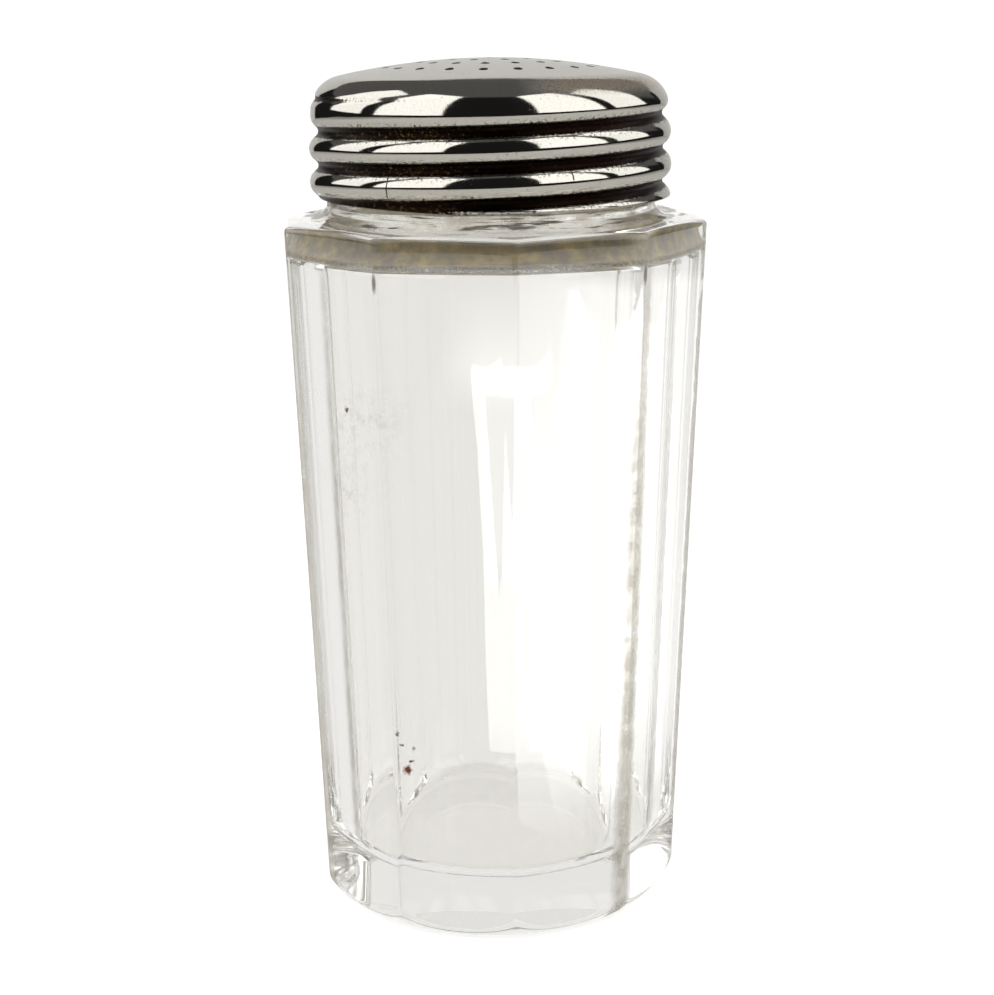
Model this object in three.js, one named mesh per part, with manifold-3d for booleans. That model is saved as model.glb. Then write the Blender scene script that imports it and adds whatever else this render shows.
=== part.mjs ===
// Ten-sided glass salt shaker with a perforated screw lid spun from plated sheet.
// Lengths are millimetres, +Z is up and the origin is the middle of the underside.
// Angles round the axis start at -Y, where one arris of the jar stands, and grow towards +X.
import * as THREE from 'three';
import { mergeVertices } from 'three/addons/utils/BufferGeometryUtils.js';
import Module from 'manifold-3d';

const wasm = await Module();
wasm.setup();

// Glass jar
const panelCount = 10;
const shoulderAcross = 56.6; // over opposite arrises, at the top of the panels
const baseAcross = 49.5; // over opposite arrises, where the panels reach the underside
const shoulderHeight = 91.7;
const footAcross = 43.8; // flat round underside
const heelHeight = 3.4; // where the rounded heel meets an arris
const heelRadius = 6;
const baseThickness = 7.5;
const wallThickness = 4; // at the middle of a panel
const floorCorner = 3;
const shoulderThickness = 4.1; // from the shoulder down to where the cavity starts to narrow
const cavityNarrowing = 3.8; // height over which the cavity slopes in to the neck
const cavityEdge = 1.2; // rounding at both ends of that slope
const shoulderRise = 0.5; // the shoulder climbs this much towards the neck
const neckFillet = 1.7;
const neckWall = 2.2;
const lipRound = 0.8;
const threadLead = 0.7; // slope at both ends of the raised thread on the neck
const neckThreadStart = 0.9; // above the rim of the lid
const neckThreadLength = 9.4;

// Screw lid
const lidAcross = 46.8; // over the crests of the thread
const lidHeight = 17.5;
const rimGap = 2.75; // from the shoulder to the rim of the lid
const sheet = 0.55;
const crownRadius = 88;
const lidCorner = 4.5;
const sideDraw = 0.3; // the side narrows by this much above the thread
const drawStart = 6.5; // height above the rim where the narrowing starts
const holeDiameter = 1.1;
const perforatedAcross = 27.2; // over the centres of the outer ring of holes
const holeRings = [
  { radiusShare: 0, count: 1, turnShare: 0 },
  { radiusShare: 0.375, count: 8, turnShare: 0.37 },
  { radiusShare: 0.67, count: 15, turnShare: 0.62 },
  { radiusShare: 1, count: 20, turnShare: 0.5 },
];

// Thread that the lid and the neck share
const pitch = 4.3;
const threadDepth = 1.15;
const grooveRadius = 0.75;
const crestFlatShare = 0.15; // share of the crest arc that stays uncut
const runOutHeight = 13.44; // groove centre above the rim where the groove has faded away
const runOutAngle = THREE.MathUtils.degToRad(-30);
const runOutTurns = 0.42;
const runOutWidthShare = 0.4; // share of its width that the groove keeps where it ends
const runOutClearance = 0.15; // the groove starts this far outside the sheet
const threadClearance = 0.3;

// Cork ring between the lip and the dome of the lid
const ringThickness = 1.5;
const ringWidth = 2.7;
const ringClearance = 0.3;

const overrun = 1; // how far cutting solids reach past what they cut
const ringSteps = 36;
const arcSteps = 3;
const crownSteps = 3;
const crestSteps = 2;
const grooveSteps = 4;
const holeSides = 6;

const shoulderRadius = shoulderAcross / 2;
const baseRadius = baseAcross / 2;
const panelShare = Math.cos(Math.PI / panelCount);
const rimHeight = shoulderHeight + rimGap;
const crestRadius = lidAcross / 2;
const sideRadius = crestRadius - sideDraw;
const cornerCentreRadius = sideRadius - lidCorner;
const crownCentreHeight = rimHeight + lidHeight - crownRadius;
const cornerCentreHeight = crownCentreHeight
  + Math.sqrt((crownRadius - lidCorner) ** 2 - cornerCentreRadius ** 2);
const arcSum = (threadDepth ** 2 + (pitch / 2) ** 2) / (2 * threadDepth);
const crestArcRadius = arcSum - grooveRadius;
const flankAngle = Math.asin(pitch / 2 / arcSum);
const neckOffset = sheet + threadClearance;
const neckRadius = crestRadius - threadDepth - neckOffset - threadClearance / 3;
const boreRadius = neckRadius - neckWall;
const ringOuterRadius = neckRadius - threadClearance / 3;
const ringTopOffset = sheet + ringClearance;
const ringBottom = domeHeight(ringOuterRadius, ringTopOffset) - ringThickness;
const lipHeight = ringBottom - ringClearance;

function arrisRadius(height) {
  return baseRadius + ((shoulderRadius - baseRadius) * height) / shoulderHeight;
}

// Radius of the middle of a panel at a height.
function panelRadius(height) {
  return arrisRadius(height) * panelShare;
}

// Height of the dome, or of a surface that lies this offset inside it, at a radius.
function domeHeight(radius, offset) {
  const tilt = Math.asin(cornerCentreRadius / (crownRadius - lidCorner));
  const crownEnd = (crownRadius - offset) * Math.sin(tilt);
  if (radius <= crownEnd) {
    return crownCentreHeight + Math.sqrt((crownRadius - offset) ** 2 - radius ** 2);
  }
  return cornerCentreHeight + Math.sqrt((lidCorner - offset) ** 2 - (radius - cornerCentreRadius) ** 2);
}

// Radius of the lid's plain side and corner at a height, without its thread.
function sideRadiusAt(height, offset) {
  const drawFrom = rimHeight + drawStart;
  if (height > cornerCentreHeight) {
    const rise = Math.min(height - cornerCentreHeight, lidCorner - offset);
    return cornerCentreRadius + Math.sqrt((lidCorner - offset) ** 2 - rise ** 2);
  }
  const drawn = THREE.MathUtils.clamp((height - drawFrom) / (cornerCentreHeight - drawFrom), 0, 1);
  return crestRadius - sideDraw * drawn - offset;
}

// Points of an arc; angles are measured from the radial direction towards +Z.
function arc(centreRadius, centreHeight, radius, from, to, steps = arcSteps) {
  const points = [];
  for (let step = 0; step <= steps; step += 1) {
    const angle = from + ((to - from) * step) / steps;
    points.push(new THREE.Vector2(
      centreRadius + radius * Math.cos(angle),
      centreHeight + radius * Math.sin(angle),
    ));
  }
  return points;
}

// The arc of a radius that bulges to the right of the way from one point to another.
function arcBetween(start, end, radius, steps = arcSteps) {
  const chord = end.clone().sub(start);
  const reach = Math.sqrt(radius ** 2 - (chord.length() / 2) ** 2);
  const side = new THREE.Vector2(-chord.y, chord.x).normalize();
  const centre = start.clone().add(end).multiplyScalar(1 / 2).addScaledVector(side, reach);
  const from = Math.atan2(start.y - centre.y, start.x - centre.x);
  const to = Math.atan2(end.y - centre.y, end.x - centre.x);
  return arc(centre.x, centre.y, radius, from, to, steps);
}

function toSolid(geometry) {
  const bare = geometry.index ? geometry.clone() : geometry;
  bare.deleteAttribute('normal');
  bare.deleteAttribute('uv');
  const merged = mergeVertices(bare);
  return new wasm.Manifold(new wasm.Mesh({
    numProp: 3,
    vertProperties: new Float32Array(merged.attributes.position.array),
    triVerts: new Uint32Array(merged.index.array),
  }));
}

function toGeometry(solid) {
  const mesh = solid.getMesh();
  const geometry = new THREE.BufferGeometry();
  geometry.setAttribute('position', new THREE.BufferAttribute(mesh.vertProperties, mesh.numProp));
  geometry.setIndex(new THREE.BufferAttribute(mesh.triVerts, 1));
  geometry.computeVertexNormals();
  return geometry;
}

// Solid of revolution about +Z from an outline of radius and height.
function revolve(outline) {
  const geometry = new THREE.LatheGeometry(outline, ringSteps);
  geometry.rotateX(Math.PI / 2);
  return toSolid(geometry);
}

// Closed solid through rings of radius and height, each ring at its own angle round the axis.
function sweep(rings, angles) {
  const positions = [];
  const indices = [];
  const size = rings[0].length;
  rings.forEach((ring, index) => {
    ring.forEach((point) => {
      const x = point.x * Math.sin(angles[index]);
      const y = -point.x * Math.cos(angles[index]);
      positions.push(x, y, point.y);
    });
  });
  for (let index = 0; index < rings.length - 1; index += 1) {
    for (let corner = 0; corner < size; corner += 1) {
      const a = index * size + corner;
      const b = index * size + ((corner + 1) % size);
      indices.push(a, b + size, b, a, a + size, b + size);
    }
  }
  const last = (rings.length - 1) * size;
  THREE.ShapeUtils.triangulateShape(rings[0], []).forEach(([a, b, c]) => {
    indices.push(c, b, a);
  });
  THREE.ShapeUtils.triangulateShape(rings[rings.length - 1], []).forEach(([a, b, c]) => {
    indices.push(last + a, last + b, last + c);
  });
  const geometry = new THREE.BufferGeometry();
  geometry.setAttribute('position', new THREE.Float32BufferAttribute(positions, 3));
  geometry.setIndex(indices);
  return toSolid(geometry);
}

// One turn's section: a crest arc, the groove arc and a crest arc, tangent to each other.
// An offset surface keeps the three centres and changes their radii.
function grooveSection(offset) {
  const crestArc = crestArcRadius - offset;
  const grooveArc = grooveRadius + offset;
  const crestCentre = crestRadius - crestArcRadius;
  const grooveCentre = crestRadius - threadDepth + grooveRadius;
  const flatAngle = flankAngle * crestFlatShare;
  const up = Math.PI / 2;
  const lower = arc(crestCentre, -pitch / 2, crestArc, flatAngle, flankAngle, crestSteps);
  const floor = arc(grooveCentre, 0, grooveArc, -2 * up + flankAngle, -2 * up - flankAngle, grooveSteps);
  const upper = arc(crestCentre, pitch / 2, crestArc, -flankAngle, -flatAngle, crestSteps);
  return [...lower, ...floor.slice(1, -1), ...upper];
}

// Helical groove that is cut out of a blank, from where it runs out at the top down to a height.
// With a run-out its depth fades into the side of the blank over the last part of a turn.
function threadGroove(offset, lowest, runsOut) {
  const section = grooveSection(offset);
  const outerRadius = crestRadius + overrun;
  const floorRadius = crestRadius - threadDepth - offset;
  const top = rimHeight + runOutHeight;
  const steps = Math.ceil(((top - lowest) / pitch) * ringSteps);
  const rings = [];
  const angles = [];
  for (let step = 0; step <= steps; step += 1) {
    const turn = step / ringSteps;
    const centre = top - pitch * turn;
    const depth = THREE.MathUtils.smoothstep(turn, 0, runOutTurns);
    const width = runsOut ? THREE.MathUtils.lerp(runOutWidthShare, 1, depth) : 1;
    const ring = section.map((point) => {
      const height = centre + point.y * width;
      if (!runsOut) {
        return new THREE.Vector2(point.x, height);
      }
      const side = sideRadiusAt(height, offset);
      const room = THREE.MathUtils.clamp((side - floorRadius) / threadDepth, 0, 1);
      const drop = (crestRadius - offset - point.x) * depth * ((1 + room) / 2);
      return new THREE.Vector2(side + (1 - depth) * runOutClearance - drop, height);
    });
    ring.push(new THREE.Vector2(outerRadius, ring[ring.length - 1].y));
    ring.push(new THREE.Vector2(outerRadius, ring[0].y));
    rings.push(ring);
    angles.push(runOutAngle - 2 * Math.PI * turn);
  }
  return sweep(rings, angles);
}

// The lid's outer form, or the form of its inside, as a blank with the thread cut into it.
function lidForm(offset, bottom) {
  const tilt = Math.asin(cornerCentreRadius / (crownRadius - lidCorner));
  const up = Math.PI / 2;
  const crown = arc(0, crownCentreHeight, crownRadius - offset, up, up - tilt, crownSteps);
  const corner = arc(cornerCentreRadius, cornerCentreHeight, lidCorner - offset, up - tilt, 0);
  const drawFrom = rimHeight + drawStart;
  const outline = [
    new THREE.Vector2(0, bottom),
    new THREE.Vector2(crestRadius - offset, bottom),
    new THREE.Vector2(crestRadius - offset, drawFrom),
    ...corner.reverse(),
    ...crown.reverse().slice(1),
  ];
  outline[outline.length - 1].x = 0;
  return revolve(outline).subtract(threadGroove(offset, bottom - pitch, true));
}

function lidHoles() {
  const length = 4 * sheet + overrun;
  let holes = null;
  holeRings.forEach(({ radiusShare, count, turnShare }) => {
    const radius = (radiusShare * perforatedAcross) / 2;
    for (let index = 0; index < count; index += 1) {
      const hole = new THREE.CylinderGeometry(holeDiameter / 2, holeDiameter / 2, length, holeSides);
      hole.rotateX(Math.PI / 2);
      hole.translate(0, 0, crownRadius - sheet / 2);
      hole.rotateX(Math.asin(radius / crownRadius));
      hole.rotateZ((2 * Math.PI * (index + turnShare)) / count);
      hole.translate(0, 0, crownCentreHeight);
      const solid = toSolid(hole);
      holes = holes ? holes.add(solid) : solid;
    }
  });
  return holes;
}

function screwLid() {
  const outside = lidForm(0, rimHeight);
  const inside = lidForm(sheet, rimHeight - overrun);
  return outside.subtract(inside).subtract(lidHoles());
}

// Cork washer: flat below, pressed to the curve of the dome above.
function sealRing() {
  const innerRadius = ringOuterRadius - ringWidth;
  const outline = [
    new THREE.Vector2(innerRadius, ringBottom),
    new THREE.Vector2(ringOuterRadius, ringBottom),
  ];
  for (let step = 0; step <= arcSteps; step += 1) {
    const radius = ringOuterRadius - (ringWidth * step) / arcSteps;
    outline.push(new THREE.Vector2(radius, domeHeight(radius, ringTopOffset)));
  }
  outline.push(outline[0].clone());
  return revolve(outline);
}

// Panels ground flat on a round blank that keeps its rounded heel and its sloping shoulder.
function jarBody() {
  const top = rimHeight;
  const panels = new THREE.CylinderGeometry(arrisRadius(top), baseRadius, top, panelCount);
  panels.rotateX(Math.PI / 2);
  panels.translate(0, 0, top / 2);
  const foot = new THREE.Vector2(footAcross / 2, 0);
  const heel = new THREE.Vector2(arrisRadius(heelHeight), heelHeight);
  const filletFoot = neckRadius + neckFillet;
  const filletHeight = shoulderHeight + shoulderRise + neckFillet;
  const slope = shoulderRise / (shoulderRadius - filletFoot);
  const outline = [
    new THREE.Vector2(0, 0),
    ...arcBetween(foot, heel, heelRadius),
    new THREE.Vector2(shoulderRadius + overrun, 2 * heelHeight),
    new THREE.Vector2(shoulderRadius + overrun, shoulderHeight - slope * overrun),
    ...arc(filletFoot, filletHeight, neckFillet, -Math.PI / 2, -Math.PI),
    new THREE.Vector2(0, filletHeight),
  ];
  return toSolid(panels).intersect(revolve(outline));
}

function threadedNeck() {
  const threadFrom = rimHeight + neckThreadStart;
  const threadTo = threadFrom + neckThreadLength;
  const drawFrom = rimHeight + drawStart;
  const outline = [
    new THREE.Vector2(0, shoulderHeight),
    new THREE.Vector2(neckRadius, shoulderHeight),
    new THREE.Vector2(neckRadius, threadFrom),
    new THREE.Vector2(sideRadiusAt(threadFrom + threadLead, neckOffset), threadFrom + threadLead),
    new THREE.Vector2(sideRadiusAt(drawFrom, neckOffset), drawFrom),
    new THREE.Vector2(sideRadiusAt(threadTo - threadLead, neckOffset), threadTo - threadLead),
    new THREE.Vector2(neckRadius, threadTo),
    ...arc(neckRadius - lipRound, lipHeight - lipRound, lipRound, 0, Math.PI / 2),
    new THREE.Vector2(0, lipHeight),
  ];
  return revolve(outline).subtract(threadGroove(neckOffset, threadFrom - pitch, false));
}

// Points of a rounded corner that starts and ends this far from the corner point.
function roundedCorner(previous, corner, next, reach) {
  const start = corner.clone().add(previous.clone().sub(corner).setLength(reach));
  const end = corner.clone().add(next.clone().sub(corner).setLength(reach));
  return new THREE.QuadraticBezierCurve(start, corner, end).getPoints(arcSteps);
}

// Round cavity: flat floor, walls that follow the taper, a slope in to a straight neck.
function jarCavity() {
  const wallFrom = baseThickness + floorCorner;
  const wallTo = shoulderHeight - shoulderThickness;
  const floorRadius = panelRadius(wallFrom) - wallThickness;
  const up = Math.PI / 2;
  const wallFoot = new THREE.Vector2(floorRadius, wallFrom);
  const slopeFoot = new THREE.Vector2(panelRadius(wallTo) - wallThickness, wallTo);
  const neckFoot = new THREE.Vector2(boreRadius, wallTo + cavityNarrowing);
  const neckTop = new THREE.Vector2(boreRadius, lipHeight);
  const outline = [
    new THREE.Vector2(0, baseThickness),
    ...arc(floorRadius - floorCorner, wallFrom, floorCorner, -up, 0),
    ...roundedCorner(wallFoot, slopeFoot, neckFoot, cavityEdge),
    ...roundedCorner(slopeFoot, neckFoot, neckTop, cavityEdge),
    ...arc(boreRadius + lipRound, lipHeight - lipRound, lipRound, 2 * up, up),
    new THREE.Vector2(boreRadius + lipRound, lipHeight + overrun),
    new THREE.Vector2(0, lipHeight + overrun),
  ];
  return revolve(outline);
}

function glassJar() {
  return jarBody().add(threadedNeck()).subtract(jarCavity());
}

function part(name, solid, color, roughness, metalness) {
  const material = new THREE.MeshStandardMaterial({ color, roughness, metalness });
  const mesh = new THREE.Mesh(toGeometry(solid), material);
  mesh.name = name;
  return mesh;
}

const shaker = new THREE.Group();
shaker.add(part('glass_jar', glassJar(), 0xe8e9e4, 0.05, 0));
shaker.add(part('seal_ring', sealRing(), 0xb08a5a, 0.9, 0));
shaker.add(part('screw_lid', screwLid(), 0xc9c8c2, 0.25, 1));

export default shaker;
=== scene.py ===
import math

import bpy
import numpy as np
from mathutils import Matrix, Vector, noise


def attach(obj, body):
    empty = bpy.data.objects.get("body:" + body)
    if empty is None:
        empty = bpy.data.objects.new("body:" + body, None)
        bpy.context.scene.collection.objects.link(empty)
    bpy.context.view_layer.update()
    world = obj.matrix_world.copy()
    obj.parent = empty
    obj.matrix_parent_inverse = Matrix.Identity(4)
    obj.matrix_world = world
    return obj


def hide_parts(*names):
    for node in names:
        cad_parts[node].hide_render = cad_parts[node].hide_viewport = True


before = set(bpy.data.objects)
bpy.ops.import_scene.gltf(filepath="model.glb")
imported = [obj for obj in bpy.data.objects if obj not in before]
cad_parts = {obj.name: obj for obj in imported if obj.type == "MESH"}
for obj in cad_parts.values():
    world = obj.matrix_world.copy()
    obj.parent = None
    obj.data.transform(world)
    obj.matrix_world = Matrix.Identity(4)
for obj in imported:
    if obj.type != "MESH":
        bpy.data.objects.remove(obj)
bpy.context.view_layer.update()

mm = 0.001
fullTurn = 2 * math.pi
smoothUnder = math.radians(40)      # faces that meet at less than this shade as one surface


# helpers that every piece uses

def hexColour(text):
    # sRGB hex to the linear colour that the sockets want
    values = [int(text[i:i + 2], 16) / 255 for i in (1, 3, 5)]
    linear = [v / 12.92 if v <= 0.04045 else ((v + 0.055) / 1.055) ** 2.4 for v in values]
    return (*linear, 1.0)


def addNode(tree, kind, *inputs, give=0, **settings):
    # inputs in their order, or by name in a dictionary: values, hex colours or outputs of other nodes
    node = tree.nodes.new("ShaderNode" + kind)
    for name, value in settings.items():
        setattr(node, name, value)
    byName = inputs[0] if inputs and isinstance(inputs[0], dict) else dict(enumerate(inputs))
    for name, value in byName.items():
        if isinstance(value, bpy.types.NodeSocket):
            tree.links.new(value, node.inputs[name])
        else:
            node.inputs[name].default_value = hexColour(value) if isinstance(value, str) else value
    return node if give is None else node.outputs[give]


def placeInMm(tree):
    place = addNode(tree, "TexCoord", give="Object")
    return addNode(tree, "VectorMath", {0: place, "Scale": 1 / mm}, operation="SCALE")


def newMaterial(name):
    material = bpy.data.materials.new(name)
    material.use_nodes = True
    material.node_tree.nodes.clear()
    return material, material.node_tree


def smoothShare(x):
    x = np.clip(x, 0, 1)
    return x * x * (3 - 2 * x)


def closeMesh(gap):
    # points closer than the gap are merged, and all faces turned outwards
    bpy.ops.object.mode_set(mode="EDIT")
    bpy.ops.mesh.select_all(action="SELECT")
    bpy.ops.mesh.remove_doubles(threshold=gap * mm)
    bpy.ops.mesh.normals_make_consistent(inside=False)
    bpy.ops.object.mode_set(mode="OBJECT")


def spunPiece(name, outline, steps, gap=0.002):
    # lathe work: one point is extruded along the outline, then the outline is spun round Z
    bpy.ops.object.select_all(action="DESELECT")
    bpy.ops.mesh.primitive_plane_add(size=mm)
    piece = bpy.context.object
    piece.name = piece.data.name = name
    bpy.ops.object.mode_set(mode="EDIT")
    bpy.ops.mesh.select_all(action="SELECT")
    bpy.ops.mesh.merge(type="CENTER")
    points = [Vector((0, -r * mm, z * mm)) for r, z in outline]
    bpy.ops.transform.translate(value=points[0])
    for start, end in zip(points, points[1:]):
        bpy.ops.mesh.extrude_region_move(TRANSFORM_OT_translate={"value": end - start})
    bpy.ops.mesh.select_all(action="SELECT")
    bpy.ops.mesh.spin(steps=steps, angle=fullTurn, center=(0, 0, 0), axis=(0, 0, 1))
    closeMesh(gap)
    return piece


def addModifier(piece, kind, **settings):
    modifier = piece.modifiers.new(kind.title(), kind)
    for key, value in settings.items():
        setattr(modifier, key, value)
    bpy.ops.object.select_all(action="DESELECT")
    piece.select_set(True)
    bpy.context.view_layer.objects.active = piece
    bpy.ops.object.modifier_apply(modifier=modifier.name)


def bevelEdges(piece, width, sharperThan, **settings):
    addModifier(piece, "BEVEL", width=width * mm, segments=2, limit_method="ANGLE",
                angle_limit=math.radians(sharperThan), **settings)


def storeShare(piece, name, values):
    share = piece.data.attributes.new(name, "FLOAT", "POINT")
    share.data.foreach_set("value", values.astype(np.float32))


def getPoints(piece):
    points = np.empty(len(piece.data.vertices) * 3)
    piece.data.vertices.foreach_get("co", points)
    return points.reshape(-1, 3) / mm


def setPoints(piece, points):
    piece.data.vertices.foreach_set("co", (points * mm).ravel())
    piece.data.update()


def arcPoints(centre, radius, start, end, steps):
    # angles in degrees from the radial direction towards +Z
    angles = np.radians(np.linspace(start, end, steps + 1))
    return [(centre[0] + radius * math.cos(a), centre[1] + radius * math.sin(a)) for a in angles]


# the thread that lid and neck share, in mm, angles in degrees from -Y towards +X

thread = {
    "pitch": 4.3,
    "depth": 1.15,
    "grooveRadius": 0.75,
    "crest": 23.4,          # radius over the crests
    "top": 108.01,          # height where the groove has run out
    "topAngle": -20.0,
    "runOutTurns": 0.45,
    "runOutSink": 0.07,     # the crease of the run-out lies a little low, in turns
    "creaseShare": 0.16,
    "creaseDark": 5.0,      # the crease is painted dark, for its shade as well as sulphide, long before it is deep
    "sheet": 0.55,
    "clearance": 0.3,
}
lid = {
    "rim": 94.45,
    "height": 17.5,
    "crownRadius": 88.0,
    "corner": 4.5,
    "sideDraw": 0.3,        # the side leans in by this, from a little above the rim
    "drawStart": 6.5,
    "spinSteps": 288,
    "rowHeight": 0.19,
    "domeSink": 0.049,      # keeps the crown inside the frame's box
    "domeFade": 4.0,
    "dent": 0.035,          # how far the hand-rolled sheet wanders
    "dentPerMm": 0.11,      # dents are about 9 mm apart
    "dentInward": 0.3,      # and go in more than out
    "rimBevel": (0.16, 50),     # width, and the angle that an edge needs to get it
    "holeAcross": 1.1,
    "holeSides": 14,
    "holeBevel": (0.05, 60),
    "punchLength": 3.0,
    "holeRings": ((0.0, 1, 0.0), (5.1, 8, 0.37), (9.1, 15, 0.62), (13.6, 20, 0.5)),  # radius, count, turn
}
lid["side"] = thread["crest"] - lid["sideDraw"]
lid["cornerR"] = lid["side"] - lid["corner"]
lid["crownZ"] = lid["rim"] + lid["height"] - lid["crownRadius"]
lid["cornerZ"] = lid["crownZ"] + math.sqrt((lid["crownRadius"] - lid["corner"]) ** 2 - lid["cornerR"] ** 2)


def sideRadius(z, offset):
    drawFrom = lid["rim"] + lid["drawStart"]
    drawn = np.clip((z - drawFrom) / (lid["cornerZ"] - drawFrom), 0, 1)
    plain = thread["crest"] - lid["sideDraw"] * drawn - offset
    corner = lid["corner"] - offset
    rise = np.clip(z - lid["cornerZ"], 0, corner)
    return np.where(z > lid["cornerZ"], lid["cornerR"] + np.sqrt(corner ** 2 - rise ** 2), plain)


def grooveDrop(angle, z, offset, runsOut):
    # how far the groove lies below the crest, and 0 to 1 for how deep in it a point is
    pitch, depth, crease = thread["pitch"], thread["depth"], thread["creaseShare"]
    arcSum = (depth ** 2 + (pitch / 2) ** 2) / (2 * depth)
    grooveArc = thread["grooveRadius"] + offset
    crestArc = arcSum - grooveArc
    turns = (thread["top"] - z) / pitch
    phase = np.mod((thread["topAngle"] - angle) / 360, 1.0)
    count = np.maximum(np.round(turns - phase), 0)
    share = smoothShare((phase + count) / thread["runOutTurns"]) if runsOut else np.ones_like(phase + z)
    away = np.abs(turns - phase - count - thread["runOutSink"] * (1 - share)) * pitch
    away = np.clip(away / (crease + (1 - crease) * share), 0, pitch / 2)
    tangent = grooveArc * (pitch / 2) / arcSum
    floor = depth - thread["grooveRadius"] + np.sqrt(np.clip(grooveArc ** 2 - away ** 2, 0, None)) - offset
    crest = crestArc - np.sqrt(np.clip(crestArc ** 2 - (pitch / 2 - away) ** 2, 0, None))
    drop = np.where(away <= tangent, floor, crest)
    room = np.clip((sideRadius(z, offset) - thread["crest"] + depth + offset) / depth, 0, 1)
    room = (1 + room) / 2 if runsOut else room
    return drop * share * room, drop / depth * np.clip(thread["creaseDark"] * share, 0, 1)


# camera from the fit to the photograph, in mm and degrees

camera = {
    "focalPixels": 1965.81,
    "longSide": 995,
    "sensorWidth": 36,
    "distance": 257.93,
    "height": 118.55,
    "pitch": 14.102,
    "yaw": 0.111,
    "roll": -0.4635,
    "turn": -5.79,
    "clipStart": 10,
}


def makeCamera():
    pitch, yaw, roll = (math.radians(camera[k]) for k in ("pitch", "yaw", "roll"))
    forward = Vector((math.sin(yaw) * math.cos(pitch), math.cos(yaw) * math.cos(pitch), -math.sin(pitch)))
    right = forward.cross(Vector((0, 0, 1))).normalized()
    up = right.cross(forward)
    tiltedRight = right * math.cos(roll) + up * math.sin(roll)
    tiltedUp = up * math.cos(roll) - right * math.sin(roll)
    pose = Matrix((tiltedRight, tiltedUp, -forward)).transposed().to_4x4()
    pose.translation = Vector((0, -camera["distance"] * mm, camera["height"] * mm))
    data = bpy.data.cameras.new("photoCamera")
    data.sensor_width = camera["sensorWidth"]
    data.lens = camera["focalPixels"] * camera["sensorWidth"] / camera["longSide"]
    data.clip_start = camera["clipStart"] * mm
    view = bpy.data.objects.new("photoCamera", data)
    bpy.context.scene.collection.objects.link(view)
    view.matrix_world = Matrix.Rotation(math.radians(camera["turn"]), 4, "Z") @ pose
    bpy.context.scene.camera = view


makeCamera()
print("camera placed")


# glass jar, in mm and degrees

jar = {
    "panels": 10,
    "shoulder": 28.3,       # radius over the arrises at the top of the panels
    "base": 24.75,
    "shoulderZ": 91.7,
    "foot": 21.9,
    "heelZ": 3.4,
    "heelArc": 6.0,
    "arrisRound": 1.3,
    "heelRound": 0.7,
    "shoulderRound": 0.9,
    "shoulderRise": 0.5,
    "neck": 21.3,
    "neckFillet": 1.7,
    "bore": 19.1,
    "lipZ": 106.11,
    "lipRound": 0.8,
    "threadFrom": 95.35,
    "threadLength": 9.4,
    "threadLead": 0.7,
    "floorZ": 7.5,
    "floorCorner": 3.0,
    "wall": 4.0,
    "wallTop": 87.6,        # above this the cavity slopes in to the neck
    "slopeTop": 91.4,
    "slopeRound": 1.2,
    # the mesh: columns, then rows as shares of each stretch or as counts
    "columnStep": 1.1,      # away from the arrises
    "columnGrowth": 1.22,   # a sudden change of width would bend the normals
    "arrisColumns": (0, 0.35, 0.7, 1),
    "undersideRows": (0, 0.3, 0.6, 0.85, 0.97),
    "heelRows": np.linspace(0, 0.9, 7),
    "panelRows": (0.004, 0.06, 0.14, *np.linspace(0.25, 0.75, 9), 0.86, 0.94, 0.99),
    "ledgeRows": (0.08, 0.3, 0.55, 0.8, 0.95),
    "threadRows": 54,
    "boreRows": 6,
    "wallRows": np.linspace(0.02, 0.98, 18),
    "floorRows": (0.93, 0.75, 0.5, 0.25, 0),
    "mergeGap": 0.004,
    # where the films, the painted shade on the slope, the dark line at its foot and the wear lie
    "slopeFilmAndShade": (0.3, 0.4),    # past the foot and the top of the slope
    "floorFilm": 0.9,           # above the floor
    "slopeFootLine": 0.3,          # either side of the foot of the slope
    "arrisWear": (0, 1.0, 0.7, 0, 0, 0, 0, 0, 0.9, 0.1),  # from the front one towards +X
    "wearAcross": (1.6, 4.6),   # full up to the first angle from an arris, gone at the second
    "wearHeights": (60, 85),
    "wearTop": 0.5,             # what is left of it at the upper height
    "wearEnds": (0.2, 0.3),     # none this near the underside and the shoulder
}


def arrisRadius(z):
    return jar["base"] + (jar["shoulder"] - jar["base"]) * z / jar["shoulderZ"]


def panelRadius(angle, z):
    # radius of the panels with their rounded arrises; angle in degrees from an arris
    half = math.pi / jar["panels"]
    offset = np.radians(angle)
    offset = np.abs(np.mod(offset + half, 2 * half) - half)
    flat = arrisRadius(z) * math.cos(half) / np.cos(half - offset)
    ball = jar["arrisRound"]
    centre = arrisRadius(z) - ball / math.cos(half)
    rounded = centre * np.cos(offset) + np.sqrt(np.clip(ball ** 2 - (centre * np.sin(offset)) ** 2, 0, None))
    edge = math.atan2(ball * math.sin(half), jar["base"])
    return np.where(offset < edge, np.minimum(flat, rounded), flat)


def columnAngles():
    half = 180 / jar["panels"]
    edge = math.degrees(jar["arrisRound"] * math.sin(math.radians(half)) / jar["shoulder"])
    side = [edge * share for share in jar["arrisColumns"]]
    while side[-1] - side[-2] < jar["columnStep"] / jar["columnGrowth"]:
        side.append(side[-1] + (side[-1] - side[-2]) * jar["columnGrowth"])
    side += list(np.linspace(side[-1], half, round((half - side[-1]) / jar["columnStep"]) + 1)[1:])
    panel = side + [2 * half - a for a in reversed(side[1:-1])]
    return np.array([a + 2 * half * i for i in range(jar["panels"]) for a in panel] + [360.0])


def heelArcCentre():
    foot, heel = np.array((jar["foot"], 0.0)), np.array((arrisRadius(jar["heelZ"]), jar["heelZ"]))
    chord = heel - foot
    length = np.hypot(*chord)
    side = np.array((-chord[1], chord[0])) / length
    return (foot + heel) / 2 + side * math.sqrt(jar["heelArc"] ** 2 - length ** 2 / 4)


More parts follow.
